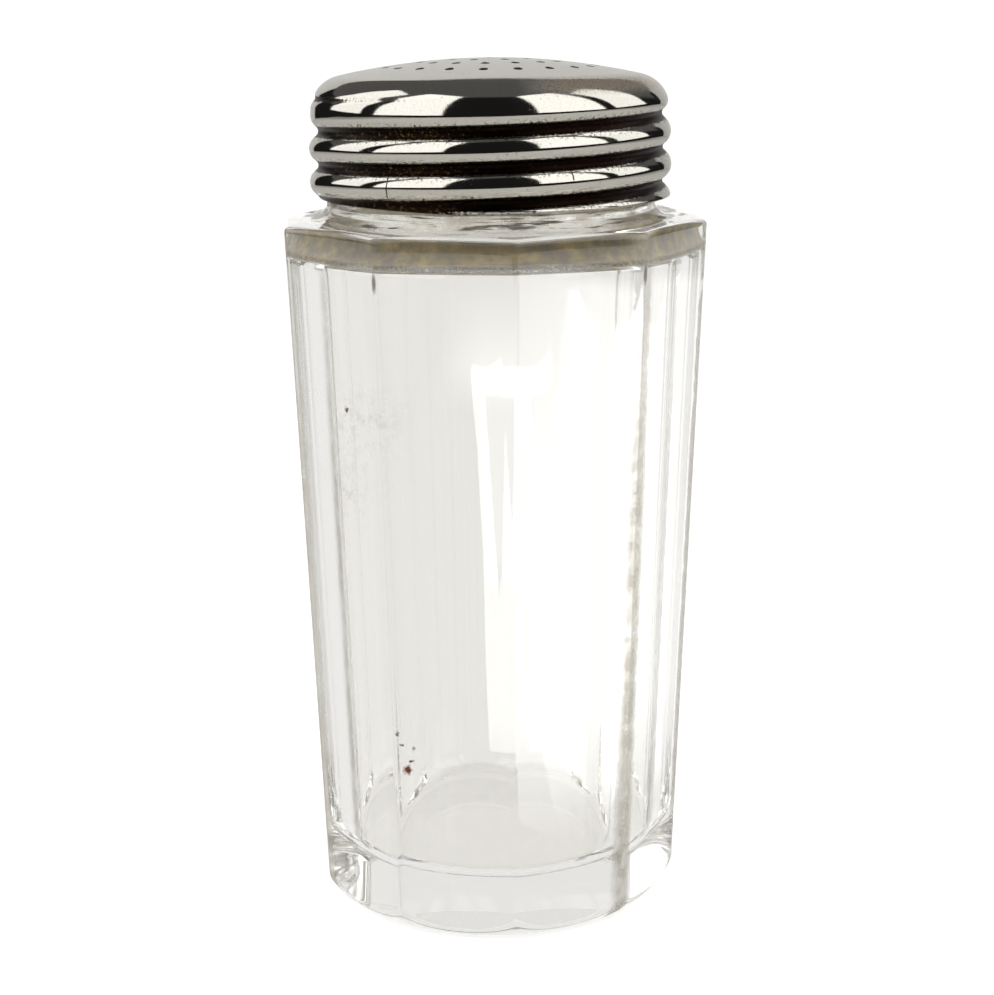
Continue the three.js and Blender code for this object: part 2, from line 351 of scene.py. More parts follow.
def cornerRows(before, corner, after, steps):
    # rows of a rounded corner between two points on its sides
    shares = np.linspace(0, 1, steps + 1)
    return [(1 - s) ** 2 * before + 2 * s * (1 - s) * corner + s ** 2 * after for s in shares]


def heelRows(angles):
    # the heel's arc up to where it meets each column's panel, with that corner rounded
    one = np.ones_like(angles)
    centre, arc = heelArcCentre(), jar["heelArc"]

    def onArc(turn):
        return np.array((centre[0] + arc * np.cos(turn), centre[1] + arc * np.sin(turn)))

    start = math.atan2(-centre[1], jar["foot"] - centre[0])
    low, high = start * one, (start + 1.2) * one    # radians on the arc, with the meeting point between them
    for halving in range(40):
        middle = (low + high) / 2
        radius, height = onArc(middle)
        outside = radius > panelRadius(angles, height)
        low, high = np.where(outside, low, middle), np.where(outside, middle, high)
    before = low - np.minimum(jar["heelRound"] / arc, (low - start) * 0.6)
    rows = [onArc(start + (before - start) * share) for share in jar["heelRows"]]
    corner = onArc(low)
    upZ = corner[1] + jar["heelRound"]
    return rows + cornerRows(onArc(before), corner, np.array((panelRadius(angles, upZ), upZ)), steps=5)


def outsideRows(angles):
    # each row holds the radius and height of every column, from the underside up to the lip
    one = np.ones_like(angles)
    rows = [np.array((share * jar["foot"] * one, 0 * one)) for share in jar["undersideRows"]]
    rows += heelRows(angles)
    upZ = rows[-1][1]
    filletFoot = jar["neck"] + jar["neckFillet"]
    slope = jar["shoulderRise"] / (jar["shoulder"] - filletFoot)
    edgeZ = jar["shoulderZ"] * one
    for settling in range(8):
        edgeZ = jar["shoulderZ"] + slope * (jar["shoulder"] - panelRadius(angles, edgeZ))
    edge = np.array((panelRadius(angles, edgeZ), edgeZ))
    downZ = edgeZ - jar["shoulderRound"]
    for share in jar["panelRows"]:
        z = upZ + (downZ - upZ) * share
        rows.append(np.array((panelRadius(angles, z), z)))
    inside = edge + np.array((-jar["shoulderRound"] * one, slope * jar["shoulderRound"] * one))
    rows += cornerRows(np.array((panelRadius(angles, downZ), downZ)), edge, inside, steps=6)
    filletZ = jar["shoulderZ"] + jar["shoulderRise"] + jar["neckFillet"]
    foot = np.array((filletFoot * one, (filletZ - jar["neckFillet"]) * one))
    rows += [inside + (foot - inside) * share for share in jar["ledgeRows"]]
    for r, z in arcPoints((filletFoot, filletZ), jar["neckFillet"], -90, -180, steps=6):
        rows.append(np.array((r * one, z * one)))
    threadTo = jar["threadFrom"] + jar["threadLength"]
    neckOffset = thread["sheet"] + thread["clearance"]
    for z in np.linspace(jar["threadFrom"] - 0.1, threadTo + 0.1, jar["threadRows"]):
        side = sideRadius(np.array(z), neckOffset)
        knots = (jar["threadFrom"], jar["threadFrom"] + jar["threadLead"], threadTo - jar["threadLead"], threadTo)
        blank = np.interp(z, knots, (jar["neck"], side, side, jar["neck"]))
        drop, _ = grooveDrop(angles, z * one, neckOffset, False)
        rows.append(np.array((np.maximum(jar["neck"], blank - drop), z * one)))
    return rows


def roundRows(angles):
    # lip, bore and cavity, round all over, down to the middle of the cavity floor
    one = np.ones_like(angles)
    lipRound, bore, soft = jar["lipRound"], jar["bore"], jar["slopeRound"]
    lipZ, floorTop = jar["lipZ"] - lipRound, jar["floorZ"] + jar["floorCorner"]
    shrink = math.cos(math.pi / jar["panels"])
    lowR, highR = (arrisRadius(z) * shrink - jar["wall"] for z in (floorTop, jar["wallTop"]))
    neckFoot, slopeFoot = np.array((bore, jar["slopeTop"])), np.array((highR, jar["wallTop"]))
    wallFoot = np.array((lowR, floorTop))
    slope = (slopeFoot - neckFoot) / np.hypot(*(slopeFoot - neckFoot))
    wall = (wallFoot - slopeFoot) / np.hypot(*(wallFoot - slopeFoot))
    wallHead = slopeFoot + wall * soft
    outline = arcPoints((jar["neck"] - lipRound, lipZ), lipRound, 0, 90, steps=5)
    outline += arcPoints((bore + lipRound, lipZ), lipRound, 90, 180, steps=5)
    outline += [(bore, z) for z in np.linspace(lipZ - 0.5, neckFoot[1] + soft + 0.3, jar["boreRows"])]
    outline += cornerRows(neckFoot + (0, soft), neckFoot, neckFoot + slope * soft, steps=6)
    outline += cornerRows(slopeFoot - slope * soft, slopeFoot, wallHead, steps=6)
    outline += [wallHead + (wallFoot - wallHead) * share for share in jar["wallRows"]]
    outline += arcPoints((lowR - jar["floorCorner"], floorTop), jar["floorCorner"], 0, -90, steps=10)
    outline += [(share * (lowR - jar["floorCorner"]), jar["floorZ"]) for share in jar["floorRows"]]
    return [np.array((r * one, z * one)) for r, z in outline]


def storeFilms(piece, angle, height, inside):
    # how much of each film, of the painted shade on the slope, of the dark line at the slope's foot and of the
    # wear every point has
    below, above = jar["slopeFilmAndShade"]
    onSlope = inside & (height > jar["wallTop"] - below) & (height < jar["slopeTop"] + above)
    onFloor = inside & (height < jar["floorZ"] + jar["floorFilm"])
    atSlopeFoot = inside & (np.abs(height - jar["wallTop"]) < jar["slopeFootLine"])
    half = 180 / jar["panels"]
    nearest = np.rint(angle / (2 * half)).astype(int) % jar["panels"]
    away = np.abs(np.mod(angle + half, 2 * half) - half)
    worn = np.interp(away, jar["wearAcross"], (1.0, 0.0)) * np.array(jar["arrisWear"])[nearest]
    worn *= np.interp(height, jar["wearHeights"], (1.0, jar["wearTop"]))
    bottomEnd, topEnd = jar["wearEnds"]
    worn = np.where(inside | (height > jar["shoulderZ"] - topEnd) | (height < bottomEnd), 0.0, worn)
    shares = {"shoulderFilmAndShade": onSlope, "floorFilm": onFloor, "slopeFootLine": atSlopeFoot, "wear": worn}
    for name, values in shares.items():
        storeShare(piece, name, values)


def makeJar():
    # a grid is wrapped round the axis, each column with the section that its panel gives it
    angles = columnAngles()
    rows = outsideRows(angles)
    outsideCount = len(rows)
    rows += roundRows(angles)
    bpy.ops.object.select_all(action="DESELECT")
    bpy.ops.mesh.primitive_grid_add(x_subdivisions=len(angles) - 1, y_subdivisions=len(rows) - 1, size=2)
    piece = bpy.context.object
    piece.name = piece.data.name = "jarGlass"
    places = getPoints(piece) * mm
    column = np.rint((places[:, 0] + 1) / 2 * (len(angles) - 1)).astype(int)
    row = np.rint((places[:, 1] + 1) / 2 * (len(rows) - 1)).astype(int)
    grid = np.array(rows)
    radius, height = grid[row, 0, column], grid[row, 1, column]
    turn = np.radians(angles[column])
    setPoints(piece, np.stack((radius * np.sin(turn), -radius * np.cos(turn), height), axis=1))
    storeFilms(piece, angles[column], height, row >= outsideCount)
    closeMesh(jar["mergeGap"])
    bpy.ops.object.shade_smooth()
    return piece


# In every look, a ramp lists from, to, and where it isn't 0 to 1 also what these become. The scale of
# a noise counts its largest lumps per mm.

glassLook = {
    "tint": "#FDFCF9",
    "ior": 1.5,
    "depthColour": "#DEDCD6",           # thick flint glass turns a warm grey in its edges
    "depthDensity": 4.0,
    "roughRamp": (0.2, 0.85, 0.4, 0.0),  # from how clear it is to how rough
    "cloud": {"Scale": 0.45, "Detail": 6.0, "Roughness": 0.6},    # dried salt in patches of 2 mm
    "crystal": {"Scale": 2.4, "Detail": 5.0, "Roughness": 0.6},
    "limeGrain": {"Scale": 0.7, "Detail": 6.0, "Roughness": 0.7},
    "edgeGrain": {"Scale": 1.6, "Detail": 3.0},
    "edgeShift": 1.4,                   # mm by which the edges of marks wander
    # salt film on the slope inside the shoulder and on the floor; on the slope it is also painted shade, for the
    # light lost in the thick shoulder glass
    "saltAndShadeDark": "#6C5930",
    "saltAndShadeLight": "#C5B380",
    "saltAndShadeRamp": (0.36, 0.64),
    "darkSpeck": "#463A28",
    "speckRamp": (0.62, 0.7),
    "saltAndShadeCover": (0.3, 0.7, 0.75, 0.97),
    "facingBlend": 0.5,
    "facingCover": (0.12, 0.2, 0.05, 1.0),   # the film and its painted shade hardly show where they are looked at squarely
    "floorFilm": 0.1,
    "slopeFootCover": (0.35, 0.6, 0.1, 0.75),
    "wearTone": "#ABA083",
    "wearCover": (0.3, 0.6, 0.3, 0.62),
    # spots: place, how far they reach and how far they are full
    "limeTone": "#C6BFAE",
    "limeSpots": ((-19.5, -17.5, 68, 6.5, 1), (-20.5, -16, 60, 6.5, 1), (-17, -20, 69, 6.5, 1)),
    "limeCover": (0.48, 0.6, 0.0, 0.2),
    "rustTone": "#7E3A17",
    "rustSpots": ((-13.4, -21.3, 23.6, 0.75, 0.375), (-12.9, -21.5, 24.7, 0.4, 0.2),
                  (-20, -16.9, 69.8, 0.45, 0.225)),
    "greyTone": "#7C7464",
    "greySpots": ((-14.7, -21.1, 28.3, 0.4, 0.2), (-11.3, -22, 22.9, 0.35, 0.175),
                  (-12.6, -21.8, 26.6, 0.35, 0.175), (-14.1, -21.3, 27, 0.3, 0.15)),
    "tickTone": "#5E5648",
    "tickSpots": ((-16.5, -22.8, 86.2, 0.42, 0.21), (16.5, -22.8, 86.6, 0.42, 0.21)),
    "tickStretch": 4.0,                 # they are that much longer than wide
    "tickCover": 0.8,
    "crustTone": "#B7A272",
    "crustSpots": ((-12.5, -19.5, 94, 5, 1), (-7, -22, 93.6, 5, 1), (13, -18.5, 94.2, 5, 1),
                   (0, -22.5, 93.5, 5, 1)),
    "crustCover": (0.38, 0.62, 0.0, 0.35),
    # grime and streaks round the ledge below the lid
    "ledgeHeights": (91.9, 95.2),
    "ledgeFade": 0.3,
    "grimeTone": "#E4D8B4",
    "grimeCover": (0.34, 0.66, 0.06, 0.34),
    "streakTone": "#4C4334",
    "streakStretch": (0.16, 0.16, 3.2),  # 6 mm long and 0.3 mm high
    "streakGrain": {"Scale": 1.0, "Detail": 4.0, "Roughness": 0.6},
    "streakCover": (0.56, 0.62, 0.0, 0.85),
}


def spotsValue(tree, place, spots):
    # 1 where a spot is full, 0 beyond its reach
    value = 0.0
    for x, y, z, reach, full in spots:
        away = addNode(tree, "VectorMath", place, (x, y, z), operation="DISTANCE", give="Value")
        near = addNode(tree, "MapRange", away, full, reach, 1.0, 0.0)
        value = addNode(tree, "Math", value, near, operation="MAXIMUM")
    return value


def glassMarks(tree, place, cloud):
    # spots on the outside: where they lie and how much they cover
    look = glassLook
    shift = addNode(tree, "TexNoise", {"Vector": place, **look["edgeGrain"]}, give="Color")
    shift = addNode(tree, "VectorMath", shift, (0.5, 0.5, 0.5), operation="SUBTRACT")
    shift = addNode(tree, "VectorMath", {0: shift, "Scale": look["edgeShift"]}, operation="SCALE")
    ragged = addNode(tree, "VectorMath", place, shift, operation="ADD")
    limeGrain = addNode(tree, "TexNoise", {"Vector": place, **look["limeGrain"]})
    lime = addNode(tree, "Math", spotsValue(tree, ragged, look["limeSpots"]),
                   addNode(tree, "MapRange", limeGrain, *look["limeCover"]), operation="MULTIPLY")
    rust = spotsValue(tree, ragged, look["rustSpots"])
    grey = spotsValue(tree, ragged, look["greySpots"])
    squash = 1 / look["tickStretch"]
    squashed = addNode(tree, "VectorMath", place, (1, 1, squash), operation="MULTIPLY")
    tick = spotsValue(tree, squashed, [(x, y, z * squash, *size) for x, y, z, *size in look["tickSpots"]])
    tick = addNode(tree, "Math", tick, look["tickCover"], operation="MULTIPLY")
    crust = addNode(tree, "Math", spotsValue(tree, ragged, look["crustSpots"]),
                    addNode(tree, "MapRange", cloud, *look["crustCover"]), operation="MULTIPLY")
    return ((lime, look["limeTone"]), (rust, look["rustTone"]), (grey, look["greyTone"]),
            (tick, look["tickTone"]), (crust, look["crustTone"]))


def glassLayers(tree):
    # what lies on the glass: how much of it, and its colour
    look = glassLook
    place = placeInMm(tree)
    cloud = addNode(tree, "TexNoise", {"Vector": place, **look["cloud"]})
    crystal = addNode(tree, "TexNoise", {"Vector": place, **look["crystal"]})
    tone = addNode(tree, "MapRange", cloud, *look["saltAndShadeRamp"])
    tone = addNode(tree, "Mix", {0: tone, 6: look["saltAndShadeDark"], 7: look["saltAndShadeLight"]}, data_type="RGBA", give=2)
    speck = addNode(tree, "MapRange", crystal, *look["speckRamp"])
    tone = addNode(tree, "Mix", {0: speck, 6: tone, 7: look["darkSpeck"]}, data_type="RGBA", give=2)

    # painted shade: on the slope the salt film also stands for the shade in the thick shoulder glass, and shows
    # mostly where it is seen at a slant
    facing = addNode(tree, "LayerWeight", look["facingBlend"], give="Facing")
    thick = addNode(tree, "Math", addNode(tree, "MapRange", cloud, *look["saltAndShadeCover"]),
                    addNode(tree, "MapRange", facing, *look["facingCover"]), operation="MULTIPLY")
    # a dark speckled line along the crease at the foot of the slope
    footSpecks = addNode(tree, "MapRange", crystal, *look["slopeFootCover"])
    scuffs = addNode(tree, "MapRange", cloud, *look["wearCover"])
    covers = {"shoulderFilmAndShade": thick, "floorFilm": look["floorFilm"], "slopeFootLine": footSpecks, "wear": scuffs}
    shoulder, floor, corner, wear = (
        addNode(tree, "Math", addNode(tree, "Attribute", attribute_name=name, give="Fac"), cover,
                operation="MULTIPLY") for name, cover in covers.items())

    height = addNode(tree, "SeparateXYZ", place, give="Z")
    low, high = look["ledgeHeights"]
    above = addNode(tree, "MapRange", height, low, low + look["ledgeFade"])
    below = addNode(tree, "MapRange", height, high, high + look["ledgeFade"], 1.0, 0.0)
    ledge = addNode(tree, "Math", above, below, operation="MULTIPLY")
    runs = addNode(tree, "VectorMath", place, look["streakStretch"], operation="MULTIPLY")
    runs = addNode(tree, "TexNoise", {"Vector": runs, **look["streakGrain"]})
    grime, streak = (
        addNode(tree, "Math", ledge, addNode(tree, "MapRange", pattern, *cover), operation="MULTIPLY")
        for pattern, cover in ((cloud, look["grimeCover"]), (runs, look["streakCover"])))
    return ((shoulder, tone), (floor, tone), (grime, look["grimeTone"]), (corner, look["darkSpeck"]),
            (wear, look["wearTone"]), *glassMarks(tree, place, cloud), (streak, look["streakTone"]))


def pressedFlintGlass():
    # old soda-lime glass, moulded and fire-polished: clear, with salt and painted shade inside the shoulder,
    # worn arrises and hard-water marks
    material, tree = newMaterial("pressedFlintGlass")
    colour, clear = glassLook["tint"], 1.0
    for share, tone in glassLayers(tree):
        colour = addNode(tree, "Mix", {0: share, 6: colour, 7: tone}, data_type="RGBA", give=2)
        left = addNode(tree, "Math", 1.0, share, operation="SUBTRACT")
        clear = addNode(tree, "Math", left, clear, operation="MULTIPLY")
    rough = addNode(tree, "MapRange", clear, *glassLook["roughRamp"])
    surface = addNode(tree, "BsdfPrincipled", {
        "Base Color": colour, "Roughness": rough, "Transmission Weight": clear, "IOR": glassLook["ior"]})
    volume = addNode(tree, "VolumeAbsorption", glassLook["depthColour"], glassLook["depthDensity"])
    addNode(tree, "OutputMaterial", surface, volume, give=None)
    return material


jarGlass = makeJar()
jarGlass.data.materials.append(pressedFlintGlass())
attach(jarGlass, "jar")
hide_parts("glass_jar")
print("jar made:", len(jarGlass.data.polygons), "faces")


# screw lid

def makeLid(looks):
    tilt = math.degrees(math.asin(lid["cornerR"] / (lid["crownRadius"] - lid["corner"])))
    outline = [(thread["crest"], z) for z in np.arange(lid["rim"], lid["cornerZ"] - 0.1, lid["rowHeight"])]
    outline += arcPoints((lid["cornerR"], lid["cornerZ"]), lid["corner"], 0, 90 - tilt, steps=24)
    outline += arcPoints((0, lid["crownZ"]), lid["crownRadius"], 90 - tilt, 90, steps=16)[1:]
    outline[-1] = (0.0, outline[-1][1])
    piece = spunPiece("lidSheet", outline, lid["spinSteps"])
    for look in looks:
        piece.data.materials.append(look)
    points = getPoints(piece)
    angle = np.degrees(np.arctan2(points[:, 0], -points[:, 1]))
    radius = np.hypot(points[:, 0], points[:, 1])
    onSide = radius > lid["cornerR"] + 0.5
    z = points[:, 2]
    drop, share = grooveDrop(angle, z, 0.0, True)
    wander = np.array([noise.noise(Vector(p) * lid["dentPerMm"]) for p in points])
    rolled = sideRadius(z, 0.0) - drop + lid["dent"] * (wander - lid["dentInward"])
    scale = np.where(onSide, rolled, radius) / np.maximum(radius, 1e-6)
    points[:, :2] *= scale[:, None]
    inward = smoothShare((lid["cornerR"] - radius) / lid["domeFade"])
    points[:, 2] -= (lid["domeSink"] + lid["dent"] * wander) * inward
    setPoints(piece, points)
    storeShare(piece, "grooveShare", np.where(onSide, share, 0.0))
    addModifier(piece, "SOLIDIFY", thickness=thread["sheet"] * mm, offset=-1, use_even_offset=True,
                material_offset=1)
    bevelEdges(piece, *lid["rimBevel"], use_clamp_overlap=False)
    return piece


def pierceHoles(piece, wall):
    # one punch is modelled, and its copies are joined and cut out together
    punches = []
    for ringRadius, count, turnShare in lid["holeRings"]:
        tilt = math.asin(ringRadius / lid["crownRadius"])
        for index in range(count):
            turn = fullTurn * (index + turnShare) / count
            spot = (Matrix.Translation((0, 0, lid["crownZ"] * mm)) @ Matrix.Rotation(turn, 4, "Z")
                    @ Matrix.Rotation(tilt, 4, "X") @ Matrix.Translation((0, 0, lid["crownRadius"] * mm)))
            if punches:
                punch = punches[0].copy()
                punch.data = punches[0].data.copy()
                bpy.context.scene.collection.objects.link(punch)
            else:
                bpy.ops.mesh.primitive_cylinder_add(
                    vertices=lid["holeSides"], radius=lid["holeAcross"] / 2 * mm, depth=lid["punchLength"] * mm)
                punch = bpy.context.object
                punch.data.materials.append(wall)
            punch.matrix_world = spot
            punches.append(punch)
    bpy.ops.object.select_all(action="DESELECT")
    for punch in punches:
        punch.select_set(True)
    bpy.context.view_layer.objects.active = punches[0]
    bpy.ops.object.join()
    cutter = bpy.context.object
    addModifier(piece, "BOOLEAN", object=cutter, operation="DIFFERENCE", solver="EXACT", material_mode="TRANSFER")
    bpy.data.objects.remove(cutter)
    bevelEdges(piece, *lid["holeBevel"], use_clamp_overlap=False)
    bpy.ops.object.shade_smooth_by_angle(angle=smoothUnder)


silverLook = {
    "silver": "#D9D6CE",
    "worn": "#CFCBC1",
    "wornRamp": (0.35, 0.65),
    "polish": (0.3, 0.8, 0.0455, 0.0975),   # roughness from patch to patch
    "grain": {"Scale": 6.0, "Detail": 2.0, "Roughness": 0.7},
    "grit": {"Scale": 2.6, "Detail": 6.0, "Roughness": 0.65},
    "patch": {"Scale": 0.22, "Detail": 4.0, "Roughness": 0.6},
    "bump": 0.025,
    "bumpDepth": 0.1,           # mm
    "grainHeight": 0.3,         # against 1 for the grit
    # black sulphide, with painted shade of the grooves in it: solid in the grooves, with a fringe and a few specks
    "sulphideAndShade": "#140D09",
    "sulphideAndShadeEdge": (0.3, 0.7, -0.175, 0.175),
    "sulphideAndShadeRamp": (0.5, 0.66),
    "fringeGroove": (0.12, 0.4),
    "fringeGrit": (0.52, 0.62),
    "speckGrit": (0.63, 0.7),
    "speckPatch": (0.42, 0.6),
    "sulphideRough": 0.3,
    "sulphideSunk": 0.4,
    # bare metal that glints in it, more to the sides
    "brassGlint": "#7E6238",
    "copperGlint": "#5A1D15",
    "glintGrain": {"Scale": 2.2, "Detail": 5.0, "Roughness": 0.8},
    "glintRamp": (0.56, 0.66),
    "glintSides": (3.0, 12.0, 0.15),
    "copperFrom": (-2.0, 6.0),
    # a brown bloom on the crown's edge, at the front and right
    "stain": "#9A866A",
    "stainRadius": 20.7,
    "stainFade": (0.7, 2.6, 1.0, 0.0),
    "stainAbove": (107.6, 108.6),
    "stainRight": (1.0, 7.0),
    "stainFront": (-4.0, -12.0),
    "stainGrit": (0.4, 0.62, 0.35, 1.0),
    "stainCover": 0.7,          # how far it hides the metal
    "stainRough": 0.16,
    # splits in the lowest rib: angle, height and half length
    "cracks": ((-38.3, 97.6, 2.1), (19.3, 98.9, 0.9)),
    "crackWidth": 0.12,
    "crackGrain": {"Scale": 0.8, "Detail": 4.0, "Roughness": 0.6},
    "crackWander": (0.0, 1.0, -0.25, 0.25),
}


def crackValue(tree, place, angle, height, halfLength):
    # hairline splits where the sheet was stretched over the thread
    turn = math.radians(angle)
    across = Vector((math.cos(turn), math.sin(turn), 0))
    outward = Vector((math.sin(turn), -math.cos(turn), 0))
    wander = addNode(tree, "TexNoise", {"Vector": place, **silverLook["crackGrain"]})
    wander = addNode(tree, "MapRange", wander, *silverLook["crackWander"])
    side = addNode(tree, "VectorMath", place, across, operation="DOT_PRODUCT", give="Value")
    side = addNode(tree, "Math", addNode(tree, "Math", wander, side, operation="ADD"), operation="ABSOLUTE")
    front = addNode(tree, "VectorMath", place, outward, operation="DOT_PRODUCT", give="Value")
    level = addNode(tree, "Math", addNode(tree, "SeparateXYZ", place, give="Z"), height, operation="SUBTRACT")
    level = addNode(tree, "Math", level, operation="ABSOLUTE")
    width = silverLook["crackWidth"]
    thin = addNode(tree, "MapRange", side, width / 2, width, 1.0, 0.0)
    short = addNode(tree, "Math", level, halfLength, operation="LESS_THAN")
    here = addNode(tree, "Math", front, 0.0, operation="GREATER_THAN")
    here = addNode(tree, "Math", short, here, operation="MULTIPLY")
    return addNode(tree, "Math", thin, here, operation="MULTIPLY")


def sulphideAndShadeValue(tree, place, groove, grit, patch):
    look = silverLook
    # painted shade: the black in the grooves stands for sulphide and for their shade both
    ragged = addNode(tree, "MapRange", grit, *look["sulphideAndShadeEdge"])
    ragged = addNode(tree, "Math", ragged, groove, operation="ADD")
    dark = addNode(tree, "MapRange", ragged, *look["sulphideAndShadeRamp"])
    for first, firstRamp, second, secondRamp in ((groove, "fringeGroove", grit, "fringeGrit"),
                                                 (grit, "speckGrit", patch, "speckPatch")):
        both = addNode(tree, "Math", addNode(tree, "MapRange", first, *look[firstRamp]),
                       addNode(tree, "MapRange", second, *look[secondRamp]), operation="MULTIPLY")
        dark = addNode(tree, "Math", dark, both, operation="MAXIMUM")
    for crack in look["cracks"]:
        dark = addNode(tree, "Math", dark, crackValue(tree, place, *crack), operation="MAXIMUM")
    return dark


def stainValue(tree, place, grit):
    look = silverLook
    x, y, z = addNode(tree, "SeparateXYZ", place, give=None).outputs
    radius = addNode(tree, "VectorMath", place, (1, 1, 0), operation="MULTIPLY")
    radius = addNode(tree, "VectorMath", radius, operation="LENGTH", give="Value")
    ring = addNode(tree, "Math", radius, look["stainRadius"], operation="SUBTRACT")
    ring = addNode(tree, "Math", ring, operation="ABSOLUTE")
    stain = addNode(tree, "MapRange", ring, *look["stainFade"])
    for value, limits in ((z, "stainAbove"), (x, "stainRight"), (y, "stainFront"), (grit, "stainGrit")):
        stain = addNode(tree, "Math", stain, addNode(tree, "MapRange", value, *look[limits]), operation="MULTIPLY")
    return stain


def spunSilverPlate():
    # thin silver plate over brass, spun and polished for years: fine grain, black sulphide and painted shade in
    # the grooves
    material, tree = newMaterial("spunSilverPlate")
    look = silverLook
    place = placeInMm(tree)
    groove = addNode(tree, "Attribute", attribute_name="grooveShare", give="Fac")
    grain, grit, patch, glintGrain = (addNode(tree, "TexNoise", {"Vector": place, **look[name]})
                                      for name in ("grain", "grit", "patch", "glintGrain"))
    dark = sulphideAndShadeValue(tree, place, groove, grit, patch)
    stain = stainValue(tree, place, grit)

    across = addNode(tree, "SeparateXYZ", place)
    sideways = addNode(tree, "Math", across, operation="ABSOLUTE")
    glint = addNode(tree, "Math", addNode(tree, "MapRange", glintGrain, *look["glintRamp"]),
                    addNode(tree, "MapRange", sideways, *look["glintSides"]), operation="MULTIPLY")
    copper = addNode(tree, "MapRange", across, *look["copperFrom"])
    metal = addNode(tree, "Mix", {0: copper, 6: look["brassGlint"], 7: look["copperGlint"]},
                    data_type="RGBA", give=2)
    sulphideAndShade = addNode(tree, "Mix", {0: glint, 6: look["sulphideAndShade"], 7: metal}, data_type="RGBA", give=2)
    worn = addNode(tree, "MapRange", grain, *look["wornRamp"])
    bright = addNode(tree, "Mix", {0: worn, 6: look["silver"], 7: look["worn"]}, data_type="RGBA", give=2)
    bright = addNode(tree, "Mix", {0: stain, 6: bright, 7: look["stain"]}, data_type="RGBA", give=2)
    colour = addNode(tree, "Mix", {0: dark, 6: bright, 7: sulphideAndShade}, data_type="RGBA", give=2)

    rough = addNode(tree, "MapRange", patch, *look["polish"])
    rough = addNode(tree, "Math", stain, look["stainRough"], rough, operation="MULTIPLY_ADD")
    rough = addNode(tree, "Math", dark, look["sulphideRough"], rough, operation="MULTIPLY_ADD")
    height = addNode(tree, "Math", dark, -look["sulphideSunk"], grit, operation="MULTIPLY_ADD")
    height = addNode(tree, "Math", grain, look["grainHeight"], height, operation="MULTIPLY_ADD")
    bump = addNode(tree, "Bump", {"Strength": look["bump"], "Distance": look["bumpDepth"] * mm, "Height": height})
    metallic = addNode(tree, "Math", stain, -look["stainCover"], 1.0, operation="MULTIPLY_ADD")
    surface = addNode(tree, "BsdfPrincipled", {
        "Base Color": colour, "Roughness": rough, "Metallic": metallic, "Normal": bump})
    addNode(tree, "OutputMaterial", surface, give=None)
    return material


brassLook = {
    "edge": "#15110D",
    "edgeWorn": "#4A3A28",
    "edgeGrit": {"Scale": 3.0, "Detail": 4.0, "Roughness": 0.5},
    "edgeMetallic": 0.4,
    "edgeRoughness": 0.7,
    "inside": "#D3CAB6",
    "insideDull": "#A3957A",
    "insideCloud": {"Scale": 0.35, "Detail": 6.0, "Roughness": 0.6},   # clouds of 3 mm
    "insideRamp": (0.35, 0.65),
    "insideMetallic": 0.8,
    "insideRough": (0.0, 1.0, 0.35, 0.6),
}


def blackenedBrass():
    # bare edge of the punched sheet: rough, and black with sulphide
    material, tree = newMaterial("blackenedBrass")
    grit = addNode(tree, "TexNoise", {"Vector": placeInMm(tree), **brassLook["edgeGrit"]})
    colour = addNode(tree, "Mix", {0: grit, 6: brassLook["edge"], 7: brassLook["edgeWorn"]},
                     data_type="RGBA", give=2)
    surface = addNode(tree, "BsdfPrincipled", {
        "Base Color": colour, "Metallic": brassLook["edgeMetallic"], "Roughness": brassLook["edgeRoughness"]})
    addNode(tree, "OutputMaterial", surface, give=None)
    return material


def dullBrass():
    # inside of the lid, tinned once and dulled by salt: pale and clouded
    material, tree = newMaterial("dullBrass")
    cloud = addNode(tree, "TexNoise", {"Vector": placeInMm(tree), **brassLook["insideCloud"]})
    dull = addNode(tree, "MapRange", cloud, *brassLook["insideRamp"])
    colour = addNode(tree, "Mix", {0: dull, 6: brassLook["inside"], 7: brassLook["insideDull"]},
                     data_type="RGBA", give=2)
    rough = addNode(tree, "MapRange", cloud, *brassLook["insideRough"])
    surface = addNode(tree, "BsdfPrincipled", {
        "Base Color": colour, "Metallic": brassLook["insideMetallic"], "Roughness": rough})
    addNode(tree, "OutputMaterial", surface, give=None)
    return material


lidSheet = makeLid([spunSilverPlate(), dullBrass()])
pierceHoles(lidSheet, blackenedBrass())
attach(lidSheet, "lid")
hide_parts("screw_lid")
print("lid made:", len(lidSheet.data.polygons), "faces")


# cork ring

cork = {
    "outer": 21.2,
    "width": 2.7,
    "bottom": 106.414,
    "top": 0.85,            # below the outside of the dome
    "topGap": 0.06,
    "topRows": 7,
    "steps": 160,
    "bevel": (0.12, 40),
    "light": "#C49A66",
    "dark": "#7A5330",
    "darkGrain": {"Scale": 0.9, "Detail": 5.0, "Roughness": 0.5},    # lenticels of 1 mm
    "darkRamp": (0.45, 0.7),
    "cellsPerMm": 2.2,      # real cells are far finer, and are drawn as coarse as they can show
    "bump": 0.5,
    "bumpDepth": 0.1,       # mm
    "roughness": 0.85,
}


def makeCork():
    inner = cork["outer"] - cork["width"]
    outline = [(cork["outer"], cork["bottom"]), (inner, cork["bottom"])]
    crownEnd = (lid["crownRadius"] - cork["top"]) * lid["cornerR"] / (lid["crownRadius"] - lid["corner"])
    for r in np.linspace(inner, cork["outer"], cork["topRows"]):
        if r <= crownEnd:
            z = lid["crownZ"] + math.sqrt((lid["crownRadius"] - cork["top"]) ** 2 - r ** 2)
        else:
            z = lid["cornerZ"] + math.sqrt((lid["corner"] - cork["top"]) ** 2 - (r - lid["cornerR"]) ** 2)
        outline.append((r, z - cork["topGap"]))
    outline.append(outline[0])
    piece = spunPiece("sealCork", outline, cork["steps"])
    bevelEdges(piece, *cork["bevel"])
    bpy.ops.object.shade_smooth_by_angle(angle=smoothUnder)
    return piece


